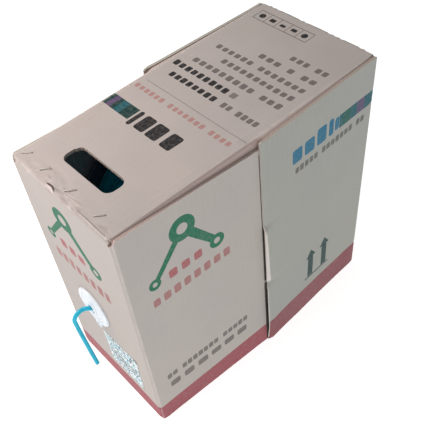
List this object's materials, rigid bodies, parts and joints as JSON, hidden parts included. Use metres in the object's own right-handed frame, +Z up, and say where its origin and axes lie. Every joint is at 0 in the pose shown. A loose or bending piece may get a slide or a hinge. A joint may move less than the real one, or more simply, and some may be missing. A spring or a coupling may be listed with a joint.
{
  "type": "cable spool box",
  "caption": "Folded corrugated pull box holding a reel of network cable on a cross axle, with a round plastic outlet in the narrow front, a hand hole and a stapled lid.",
  "frame": {"origin": "centre of the carton's underside", "axes": "+Z up, -Y towards the narrow front panel with the cable outlet, X along the spool's axle"},
  "size_m": [0.2168, 0.4349, 0.386],
  "materials": {
    "printed_board": "white-lined corrugated board, printed",
    "raw_board": "plain kraft board",
    "white_plastic": "moulded, semi-gloss",
    "black_plastic": "moulded, satin",
    "hardboard": "smooth hardboard",
    "cable_jacket": "smooth extruded jacket",
    "staple_wire": "flat steel wire"
  },
  "bodies": {
    "carton": {"front_panel": "printed_board", "rear_panel": "printed_board", "bottom_panel": "printed_board", "bottom_flange_left": "printed_board", "bottom_flange_right": "printed_board", "front_tuck_flap": "printed_board", "front_flap_left": "printed_board", "front_flap_right": "printed_board", "rear_flap_left": "printed_board", "rear_flap_right": "printed_board", "liner_board_left": "raw_board", "liner_board_right": "raw_board", "axle_tube": "raw_board", "axle_cap_left": "black_plastic", "axle_cap_right": "black_plastic", "outlet_bezel": "white_plastic", "outlet_lock_ring": "white_plastic", "cable_lead_inside": "cable_jacket", "cable_free_end": "cable_jacket"},
    "spool": {"spool_core_tube": "raw_board", "spool_flange_left": "hardboard", "spool_flange_right": "hardboard", "hub_bush_left": "black_plastic", "hub_bush_right": "black_plastic", "cable_winding": "cable_jacket"},
    "lid": {"top_panel": "printed_board", "top_flange_left": "printed_board", "top_flange_right": "printed_board", "staple_1": "staple_wire", "staple_2": "staple_wire", "staple_3": "staple_wire", "staple_4": "staple_wire"}
  },
  "joints": [
    {"name": "spool_spin", "type": "hinge", "parent": "carton", "child": "spool", "pos_m": [0, 0, 0.1925], "axis": [1, 0, 0], "continuous": true},
    {"name": "lid_hinge", "type": "hinge", "parent": "carton", "child": "lid", "pos_m": [0, 0.196, 0.385], "axis": [-1, 0, 0], "range_deg": [0, 170]}
  ]
}
